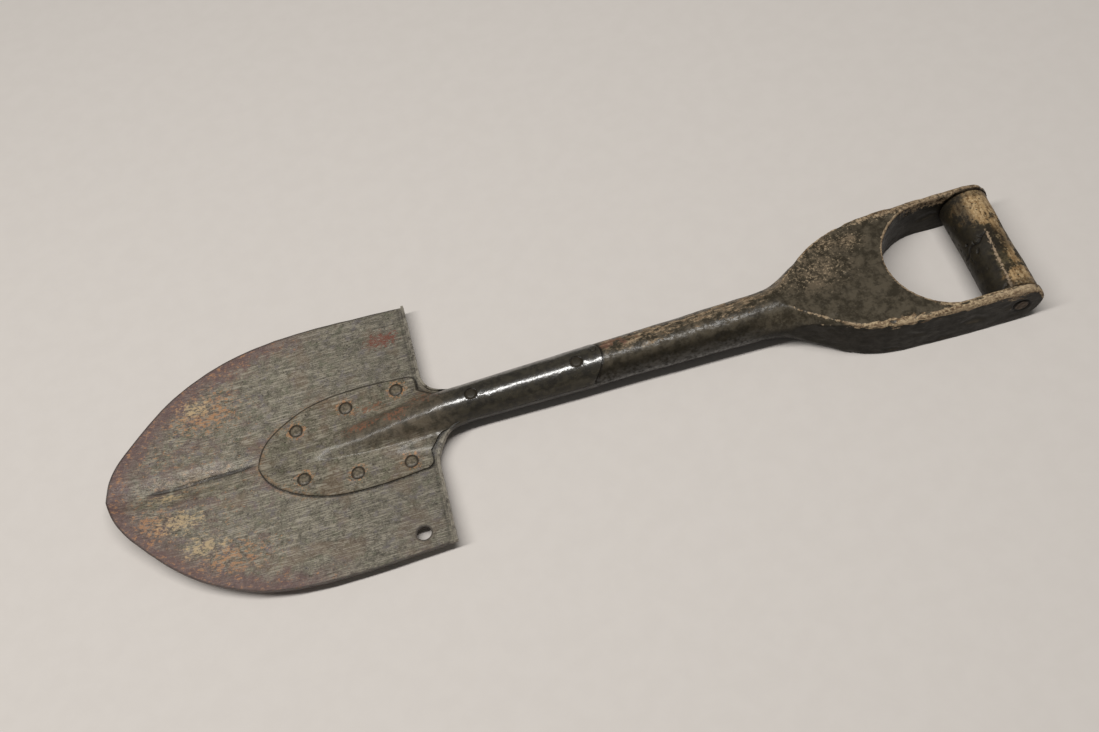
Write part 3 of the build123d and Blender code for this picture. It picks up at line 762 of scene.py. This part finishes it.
# Marks in the finishes: each oval's middle (behind the tip, across, up), its radii and its strength.
RUST_MARKS = (
    ((0.034, -0.030, 0.010), (0.034, 0.028, 0.050), 1.0),
    ((0.085, -0.068, 0.010), (0.060, 0.026, 0.050), 0.85),
    ((0.078, 0.058, 0.010), (0.050, 0.034, 0.050), 1.0),
)
OCHRE_MARKS = (
    ((0.052, -0.030, 0.010), (0.030, 0.015, 0.050), 1.0),
    ((0.043, -0.006, 0.010), (0.020, 0.007, 0.050), 1.0),
    ((0.068, -0.054, 0.010), (0.026, 0.014, 0.050), 1.0),
    ((0.073, 0.064, 0.010), (0.022, 0.012, 0.050), 1.0),
)
VALLEY_SLOPE = (((0.062, 0.0075, 0.010), (0.062, 0.0075, 0.050), 1.0),)
CORNER_STAIN = (((0.226, 0.081, 0.010), (0.023, 0.012, 0.050), 1.0),)
BULGE_REDS = (
    ((0.198, 0.006, 0.020), (0.026, 0.010, 0.050), 1.0),
    ((0.225, 0.004, 0.020), (0.024, 0.012, 0.050), 1.0),
    ((0.250, 0.012, 0.020), (0.026, 0.014, 0.050), 1.0),
    ((0.205, 0.022, 0.020), (0.030, 0.008, 0.050), 1.0),
)
ARM_END_WEAR = (((0.6935, -0.052, 0.040), (0.034, 0.012, 0.014), 1.0),)
WEB_WEAR = (
    ((0.5705, 0.034, 0.040), (0.022, 0.014, 0.030), 1.0),
    ((0.5885, 0.031, 0.040), (0.020, 0.014, 0.030), 1.0),
    ((0.5575, 0.014, 0.040), (0.040, 0.030, 0.030), 0.75),
    ((0.5255, 0.014, 0.038), (0.026, 0.016, 0.030), 0.9),
)
SHAFT_WEAR = (
    ((0.4155, 0.006, 0.033), (0.060, 0.014, 0.016), 1.0),
    ((0.4805, 0.007, 0.034), (0.060, 0.015, 0.016), 1.0),
)
SHAFT_RED = (((0.3955, 0.005, 0.034), (0.024, 0.010, 0.015), 1.0),)


def steel_ground(g):
    """Colour, roughness pattern and height that the blade and the plate have in common."""
    streak = g.noise(1.0, detail=4, rough=0.68, stretch=(150, 980, 300), turn=5.0, shift=1.0)
    mottle = g.noise(170, detail=5, rough=0.72, shift=3.0)
    cloud = g.noise(34, detail=3, rough=0.6, shift=9.0)
    grain = g.noise(760, detail=3, rough=0.8, shift=29.0)
    brushed = g.span(g.noise(19, detail=3, shift=33.0), 0.40, 0.60, to=(0.20, 0.62))
    tone = g.math("MULTIPLY_ADD", g.math("SUBTRACT", streak, 0.5), brushed, 0.5)
    tone = g.math("MULTIPLY_ADD", g.math("SUBTRACT", mottle, 0.5), 0.34, tone)
    tone = g.math("MULTIPLY_ADD", g.math("SUBTRACT", grain, 0.5), 0.66, tone)
    colour = g.mix(g.span(tone, 0.38, 0.47), OLIVE_DARK, OLIVE)
    colour = g.mix(g.times(g.span(tone, 0.50, 0.62), 0.9), colour, OLIVE_LIGHT)
    tint = g.noise(150, detail=4, rough=0.7, shift=6.0)
    colour = g.mix(g.times(g.span(tint, 0.54, 0.66), 0.60), colour, BLUE_GREY)
    colour = g.mix(g.times(g.span(tint, 0.46, 0.34), 0.42), colour, GREEN)
    colour = g.mix(g.times(g.span(cloud, 0.48, 0.36), 0.45), colour, BROWN)
    lines = []
    for turn, shift in ((3.0, 11.0), (-11.0, 13.0), (17.0, 17.0), (-38.0, 19.0), (52.0, 27.0)):
        fine = g.noise(1.0, detail=2, rough=0.6, stretch=(38, 950, 300), turn=turn, shift=shift)
        lines.append(g.span(fine, 0.60, 0.66))
    scratches = g.times(g.most(*lines), g.span(mottle, 0.40, 0.54))
    colour = g.mix(g.times(scratches, 0.74), colour, PALE)
    dark = g.noise(1.0, detail=2, rough=0.6, stretch=(46, 1000, 300), turn=-4.0, shift=23.0)
    colour = g.mix(g.times(g.span(dark, 0.62, 0.70), 0.55), colour, DIRT_AND_SHADE)
    pits = g.times(g.span(g.cells(210, shift=2.0), 0.16, 0.07), g.span(cloud, 0.44, 0.56))
    colour = g.mix(g.times(pits, 0.85), colour, DIRT_AND_SHADE)
    height = g.math("SUBTRACT", tone, g.times(pits, 0.4))
    return colour, height, mottle, tone


def blade_steel():
    g = Graph("blade_steel")
    colour, height, mottle, tone = steel_ground(g)
    rim, plate = g.attribute("rim"), g.attribute("plate")
    speckle = g.noise(1.0, detail=5, rough=0.78, stretch=(260, 420, 300), turn=8.0, shift=43.0)
    blotch = g.noise(80, detail=4, rough=0.65, shift=47.0)

    # towards the point the paint is gone: a maroon bloom along the rim, rust in flecks
    toe = g.span(g.x, TOE_END, TOE_END - 0.120)
    band = g.math("ADD", rim, g.times(g.math("SUBTRACT", blotch, 0.5), 0.050))
    band = g.times(g.span(band, 0.020, 0.004), g.span(g.x, RIM_RUST_END, RIM_RUST_END - 0.070))
    colour = g.mix(g.times(band, 0.75), colour, MAROON)
    bloom = g.flecks(toe, blotch, 0.10, 0.56, 0.68)
    colour = g.mix(g.times(bloom, 0.38), colour, MAROON)
    rusty = g.most(g.marks(RUST_MARKS), g.times(toe, 0.35), g.times(band, 0.5))
    orange = g.flecks(rusty, speckle, 0.14, 0.60, 0.70)
    burnt = g.times(rusty, g.span(speckle, 0.47, 0.36))
    colour = g.mix(g.times(burnt, 0.85), colour, BURNT)
    colour = g.mix(g.times(orange, 0.80), colour, RUST_ORANGE)
    flakes = g.flecks(g.marks(OCHRE_MARKS), speckle, 0.18, 0.60, 0.72)
    colour = g.mix(g.times(flakes, 0.85), colour, OCHRE)
    # painted sheen: pale flecks on the valley's far slope stand for its gloss
    slope = g.marks(VALLEY_SLOPE, soft=0.8)
    bright = g.flecks(slope, speckle, 0.13, 0.58, 0.74)
    colour = g.mix(g.times(bright, 0.55), colour, SLOPE_SHEEN)

    shaded = g.span(g.x, EARTH_START, SHADE_END)
    colour = g.mix(g.times(shaded, 0.24), colour, DIRT_AND_SHADE)

    # one rust stain by the far rear corner; painted shade as a dark line along the whole rim; along the rear
    # edge a pale line of wear and painted highlight on its lip, with a darker line just inside it
    stain = g.flecks(g.marks(CORNER_STAIN), speckle, 0.20, 0.60, 0.70)
    colour = g.mix(g.times(stain, 0.9), colour, RUST_RED)
    rear = g.span(g.x, REAR_EDGE - 0.008, REAR_EDGE - 0.003)
    colour = g.mix(g.times(g.span(rim, 0.0017, 0.0006), 0.75), colour, RIM_SHADE)
    rim_wear_and_highlight = g.times(g.span(rim, 0.0014, 0.0003), g.span(mottle, 0.34, 0.52), rear)
    colour = g.mix(g.times(rim_wear_and_highlight, 0.6), colour, PALE)
    inner = g.times(g.span(rim, 0.0016, 0.0030), g.span(rim, 0.0052, 0.0034))
    inner = g.times(inner, g.span(g.x, REAR_EDGE - 0.012, REAR_EDGE))
    colour = g.mix(g.times(inner, 0.7), colour, DIRT_AND_SHADE)

    # dried earth beside the plate; painted shadow as a dark line along the plate's edge, and painted shade in
    # the fold of the valley
    earth = g.times(g.span(plate, 0.0060, 0.0012), g.span(g.x, EARTH_END, EARTH_START))
    earth = g.flecks(earth, speckle, 0.14, 0.60, 0.70)
    colour = g.mix(g.times(earth, 0.75), colour, EARTH)
    colour = g.mix(g.times(g.span(plate, 0.0017, 0.0008), 0.92), colour, DIRT_AND_SHADE)
    fold = g.times(g.span(g.attribute("fold"), 0.30, 0.75), g.span(blotch, 0.36, 0.48))
    colour = g.mix(g.times(fold, 0.85), colour, DIRT_AND_SHADE)

    oily = g.mix(g.span(mottle, 0.40, 0.60), BACK_OIL_DARK, BACK_OIL)
    colour = g.mix(g.span(g.x, NECK - 0.022, NECK - 0.004), colour, oily)
    rough = g.span(tone, 0.40, 0.60, to=(0.54, 0.37))
    rough = g.math("ADD", rough, g.times(g.most(flakes, orange), 0.20))
    rough = g.math("SUBTRACT", rough, g.times(slope, 0.16))
    height = g.math("ADD", height, g.times(speckle, 0.25))
    return g.finish(colour, rough, g.bump(height, 0.5 * MM, 1.0))


def strap_steel():
    g = Graph("strap_steel")
    colour, height, _, _ = steel_ground(g)
    swell, rim, rivet = g.attribute("swell"), g.attribute("rim"), g.attribute("rivet")
    speckle = g.noise(380, detail=5, rough=0.78, shift=61.0)
    patch = g.noise(150, detail=5, rough=0.7, shift=63.0)
    oily = g.mix(g.span(patch, 0.40, 0.60), OIL_DARK, OIL)
    oily = g.mix(g.times(g.span(speckle, 0.60, 0.70), 0.6), oily, OIL_FLECK)
    strap = g.span(g.x, OILY_START, OILY_END)
    brown = g.mix(g.span(patch, 0.40, 0.60), BULGE_DARK, BULGE)
    colour = g.mix(g.times(swell, 0.85), colour, brown)
    reds = g.flecks(g.marks(BULGE_REDS), speckle, 0.14, 0.60, 0.70)
    colour = g.mix(g.times(reds, 0.85), colour, BULGE_RED)
    colour = g.mix(strap, colour, oily)
    colour = g.mix(0.12, colour, DIRT_AND_SHADE)
    halo = g.times(g.span(rivet, 0.0105, 0.0060), g.span(g.x, SHADE_END + 0.020, SHADE_END))
    halo = g.flecks(halo, speckle, 0.12, 0.60, 0.70)
    colour = g.mix(g.times(halo, 0.8), colour, RUST_ORANGE)
    # painted shade: a dark ring round each rivet head where it sits on the plate
    colour = g.mix(g.times(g.span(rivet, 0.0060, 0.0050), 0.85), colour, DIRT_AND_SHADE)
    outline = g.times(g.span(rim, 0.0060, 0.0015), g.span(g.x, EARTH_END, EARTH_START + 0.005))
    outline = g.flecks(outline, speckle, 0.12, 0.60, 0.70)
    colour = g.mix(g.times(outline, 0.7), colour, EARTH)
    # painted shadow: a dark line along the strap's own rim, strongest on its far side
    far_rim = g.times(g.span(rim, 0.0015, 0.0007), g.most(g.span(g.y, -0.006, 0.004), 0.25))
    colour = g.mix(g.times(far_rim, 0.85), colour, DIRT_AND_SHADE)
    rough = g.span(patch, 0.35, 0.65, to=(0.34, 0.18))
    rough = g.math("ADD", rough, g.times(g.math("SUBTRACT", 1.0, strap), 0.18))
    height = g.math("ADD", g.times(height, 0.7), g.times(speckle, 0.35))
    g.shader.inputs["Specular IOR Level"].default_value = 0.15
    g.shader.inputs["Coat IOR"].default_value = 1.95
    oiled = g.times(g.most(g.times(strap, g.span(g.level(), 0.30, 0.85)), 0.10), g.span(speckle, 0.30, 0.42))
    g.gloss(oiled, 0.20, 150, 0.32 * MM)
    return g.finish(colour, rough, g.bump(height, 0.35 * MM, 0.9))


def rivet_steel():
    g = Graph("rivet_steel")
    patch = g.noise(420, detail=4, rough=0.7, shift=71.0)
    strap = g.span(g.x, OILY_END - 0.030, OILY_END - 0.005)
    colour = g.mix(g.span(patch, 0.40, 0.60), HEAD_DARK, HEAD)
    colour = g.mix(g.times(strap, 0.88), colour, HEAD_OILY)
    # painted shade: the outer part of each head is darkened, as on a rounded rim
    ring = g.span(g.attribute("ring"), 0.45, 1.0)
    colour = g.mix(g.times(ring, 0.80), colour, HEAD_RIM_SHADE)
    rough = g.span(patch, 0.35, 0.65, to=(0.58, 0.44))
    g.shader.inputs["Specular IOR Level"].default_value = 0.25
    g.gloss(g.most(g.times(strap, ring, 0.9), 0.12), 0.2, 300, 0.1 * MM)
    return g.finish(colour, rough, g.bump(patch, 0.12 * MM, 0.8))


def rod_steel():
    g = Graph("rod_steel")
    patch = g.noise(520, detail=4, rough=0.7, shift=73.0)
    colour = g.mix(g.span(patch, 0.40, 0.60), ROD_DARK, ROD)
    # painted shade in the rounded-over rim of each head
    colour = g.mix(g.times(g.span(g.attribute("ring"), 0.05, 0.45), 0.95), colour, ROD_RIM_SHADE)
    rough = g.span(patch, 0.3, 0.7, to=(0.60, 0.42))
    g.shader.inputs["Specular IOR Level"].default_value = 0.15
    return g.finish(colour, rough, g.bump(patch, 0.3 * MM, 0.9))


def handle_wood():
    g = Graph("handle_wood")
    grain = g.noise(1.0, detail=4, rough=0.68, stretch=(22, 380, 380), twist=0.3, shift=81.0)
    patch = g.noise(130, detail=5, rough=0.72, shift=85.0)
    speckle = g.noise(400, detail=5, rough=0.78, shift=87.0)
    shred = g.noise(1.0, detail=5, rough=0.75, stretch=(90, 330, 330), shift=91.0)
    paint = g.mix(g.span(patch, 0.38, 0.62), PAINT_DARK, PAINT)
    paint = g.mix(g.times(g.span(speckle, 0.55, 0.70), 0.55), paint, PAINT_FLECK)
    level = g.level()
    shaft_paint = g.span(g.x, D_START - 0.005, D_START - 0.035)
    # painted shade: faces turned away from straight up are painted near black, and on the shaft all but its
    # very top
    side = g.most(g.span(level, 0.45, 0.05), g.times(g.span(level, 0.96, 0.60), shaft_paint, 0.9))
    paint = g.mix(g.times(side, 0.86), paint, SIDE_SHADE)
    tan = g.mix(g.span(grain, 0.38, 0.62), TAN_DARK, TAN)
    tan = g.mix(g.times(g.span(speckle, 0.50, 0.62), 0.7), tan, TAN_LIGHT)

    # where the paint is gone: edges, scuffs on the web, the top of the shaft
    edge = g.attribute("edge")
    near_edge, far_top = g.attribute("near_edge"), g.attribute("far_top")
    rims = g.times(g.span(edge, 0.66, 0.90), g.span(g.x, D_START - 0.045, D_START))
    rims = g.times(rims, g.span(g.z, HANDLE_TOP - 0.026, HANDLE_TOP - 0.012))
    band = g.times(near_edge, g.span(edge, 0.50, 0.66))
    corner = g.marks(ARM_END_WEAR, soft=0.8)
    web = g.marks(WEB_WEAR)
    shaft = g.marks(SHAFT_WEAR, soft=0.8)
    bare = g.most(
        g.flecks(rims, speckle, 0.22, 0.60, 0.70),
        g.flecks(g.most(band, corner), shred, 0.19, 0.59, 0.67),
        g.flecks(far_top, speckle, 0.20, 0.60, 0.70),
        g.times(g.flecks(web, speckle, 0.15, 0.60, 0.72), 0.65),
        g.times(g.flecks(shaft, shred, 0.15, 0.58, 0.68), g.span(patch, 0.40, 0.52)),
    )
    faded = g.times(g.most(web, g.times(shaft, 0.8)), g.span(patch, 0.46, 0.62))
    paint = g.mix(g.times(faded, 0.75), paint, PAINT_FADED)
    colour = g.mix(g.times(bare, 0.92), paint, tan)
    bright = g.times(g.flecks(g.most(band, corner), speckle, 0.10, 0.56, 0.66), bare)
    colour = g.mix(g.times(bright, 0.65), colour, TAN_BRIGHT)
    red = g.flecks(g.marks(SHAFT_RED), patch, 0.15, 0.58, 0.68)
    colour = g.mix(g.times(red, 0.55), colour, WOOD_RED)
    cracks = g.times(g.span(grain, 0.36, 0.30), g.span(patch, 0.42, 0.56))
    colour = g.mix(g.times(cracks, 0.7), colour, CRACK)
    # dark joint lines and painted shade where the wood meets the straps, the grip and the rod
    joint_shade = g.span(g.attribute("joint_shade"), 0.0024, 0.0011)
    colour = g.mix(g.times(joint_shade, 0.9), colour, JOINT_SHADE)
    height = g.math("ADD", g.times(grain, 0.35), g.times(patch, 0.35))
    height = g.math("ADD", height, g.times(speckle, 0.3))
    rough = g.span(patch, 0.3, 0.7, to=(0.50, 0.30))
    rough = g.math("ADD", rough, g.times(bare, 0.25))
    g.shader.inputs["Specular IOR Level"].default_value = 0.1
    waxed = g.times(g.most(g.times(shaft_paint, 0.8), 0.4), g.span(speckle, 0.40, 0.56))
    waxed = g.times(waxed, g.math("SUBTRACT", 1.0, bare))
    flank = g.times(g.span(level, 0.45, 0.05), g.math("SUBTRACT", 1.0, shaft_paint))
    waxed = g.times(waxed, g.math("SUBTRACT", 1.0, g.times(flank, 0.92)))
    g.gloss(waxed, 0.26, 190, 0.4 * MM)
    return g.finish(colour, rough, g.bump(height, 0.6 * MM, 1.0))


def grip_wood():
    g = Graph("grip_wood")
    grain = g.noise(1.0, detail=4, rough=0.68, stretch=(380, 30, 380), twist=0.3, shift=101.0)
    patch = g.noise(140, detail=5, rough=0.72, shift=105.0)
    speckle = g.noise(430, detail=5, rough=0.78, shift=107.0)
    tan = g.mix(g.span(grain, 0.38, 0.62), GRIP_TAN_DARK, GRIP_TAN)
    olive = g.mix(g.span(patch, 0.40, 0.60), GRIP_OLIVE_DARK, GRIP_OLIVE)
    x, z = GRIP_LOW[0], GRIP_HIGH[2]
    ends = g.most(
        g.spot((x + 0.022, 0.034, z), (0.026, 0.026, 0.024), soft=0.6),
        g.spot((x + 0.026, -0.040, z), (0.018, 0.020, 0.022), soft=0.8),
        g.times(g.spot((x + 0.028, 0.0, z), (0.009, 0.050, 0.022), soft=0.8), 0.8),
    )
    light = g.flecks(ends, patch, 0.26, 0.56, 0.68)
    colour = g.mix(g.times(light, 0.9), olive, tan)
    cream = g.flecks(ends, speckle, 0.15, 0.60, 0.74)
    colour = g.mix(g.times(cream, 0.8), colour, GRIP_CREAM)
    # painted shade on the grip's half towards the shaft, and a dark, patchy band across its middle
    shadow_side = g.span(g.math("ADD", g.x, g.times(patch, 0.008)), x + 0.022, x + 0.014)
    middle = g.spot((x + 0.020, -0.002, z), (0.018, 0.020, 0.03), soft=0.7)
    shade_and_dark_band = g.most(g.times(shadow_side, 0.9), g.times(middle, g.span(patch, 0.38, 0.50)))
    colour = g.mix(g.times(shade_and_dark_band, 0.92), colour, GRIP_DARK)
    ridge = g.flecks(g.attribute("ridge"), speckle, 0.22, 0.60, 0.70)
    colour = g.mix(g.times(ridge, 0.85), colour, GRIP_RIDGE)
    colour = g.mix(g.attribute("split"), colour, GRIP_SPLIT)
    pits = g.times(g.span(g.cells(230, shift=7.0), 0.24, 0.12), g.span(speckle, 0.42, 0.52))
    colour = g.mix(g.times(pits, 0.9), colour, GRIP_DARK)
    # a dark joint and painted shade where the grip goes into the arms
    joint_shade = g.span(g.math("ABSOLUTE", g.y), GRIP_HIGH[1] - 6.5 * MM, GRIP_HIGH[1] - 4.5 * MM)
    colour = g.mix(g.times(joint_shade, 0.5), colour, GRIP_DARK)
    height = g.math("ADD", g.times(grain, 0.35), g.times(patch, 0.35))
    height = g.math("ADD", height, g.times(speckle, 0.3))
    rough = g.span(patch, 0.3, 0.7, to=(0.62, 0.44))
    g.shader.inputs["Specular IOR Level"].default_value = 0.25
    return g.finish(colour, rough, g.bump(height, 0.6 * MM, 1.0))


# ---- floor and light -----------------------------------------------------------
FLOOR_REACH = 4.0
LAMP_PLACE = (-0.50, -0.14, 2.1)
LAMP_AIM = (-0.30, 0.05, 0)
LAMP_SIZE = (2.8, 0.24)
LAMP_WATTS = 44
LAMP_TINT = (1.0, 0.985, 0.96)
ROOM_TINT = (1.0, 0.98, 0.95)
ROOM_STRENGTH = 0.10
FLOOR_DARK = (0.735, 0.690, 0.650)
FLOOR_PALE = (0.750, 0.705, 0.665)


def make_floor():
    mesh = bpy.data.meshes.new("floor")
    reach = FLOOR_REACH
    corners = [(-reach, -reach, 0), (reach, -reach, 0), (reach, reach, 0), (-reach, reach, 0)]
    mesh.from_pydata(corners, [], [(0, 1, 2, 3)])
    floor = bpy.data.objects.new("floor", mesh)
    bpy.context.scene.collection.objects.link(floor)
    g = Graph("floor_paper")
    weave = g.noise(60, detail=3)
    colour = g.mix(g.span(weave, 0.3, 0.7), FLOOR_DARK, FLOOR_PALE)
    g.tree.links.new(colour, g.shader.inputs["Base Color"])
    g.shader.inputs["Roughness"].default_value = 0.95
    g.shader.inputs["Specular IOR Level"].default_value = 0.1
    mesh.materials.append(g.material)


def strip_light(name, place, aim, size, power, tint):
    """A long ceiling lamp, lying along the shovel."""
    data = bpy.data.lights.new(name, "AREA")
    data.shape = "RECTANGLE"
    data.size, data.size_y = size
    data.energy = power
    data.color = tint
    lamp = bpy.data.objects.new(name, data)
    down = Vector(aim) - Vector(place)
    side = Vector((1, 0, 0))
    up = down.cross(side).normalized()
    turn = Matrix((side, -up, -down.normalized())).transposed().to_4x4()
    lamp.matrix_world = Matrix.Translation(place) @ turn
    bpy.context.scene.collection.objects.link(lamp)


def make_lights():
    world = bpy.data.worlds.new("soft_room")
    bpy.context.scene.world = world
    world.use_nodes = True
    world.node_tree.nodes["Background"].inputs["Color"].default_value = (*ROOM_TINT, 1)
    world.node_tree.nodes["Background"].inputs["Strength"].default_value = ROOM_STRENGTH
    strip_light("ceiling_strip", LAMP_PLACE, LAMP_AIM, LAMP_SIZE, LAMP_WATTS, LAMP_TINT)


bpy.context.scene.view_settings.view_transform = "Standard"
make_camera()
make_floor()
make_lights()
make_blade()
make_front_strap()
rivet_finish = rivet_steel()
for number, node in enumerate(BLADE_RIVETS + STRAP_RIVETS + ["strap_nail"]):
    make_rivet(node, number, rivet_finish)
make_handle()
make_grip()
make_rod()
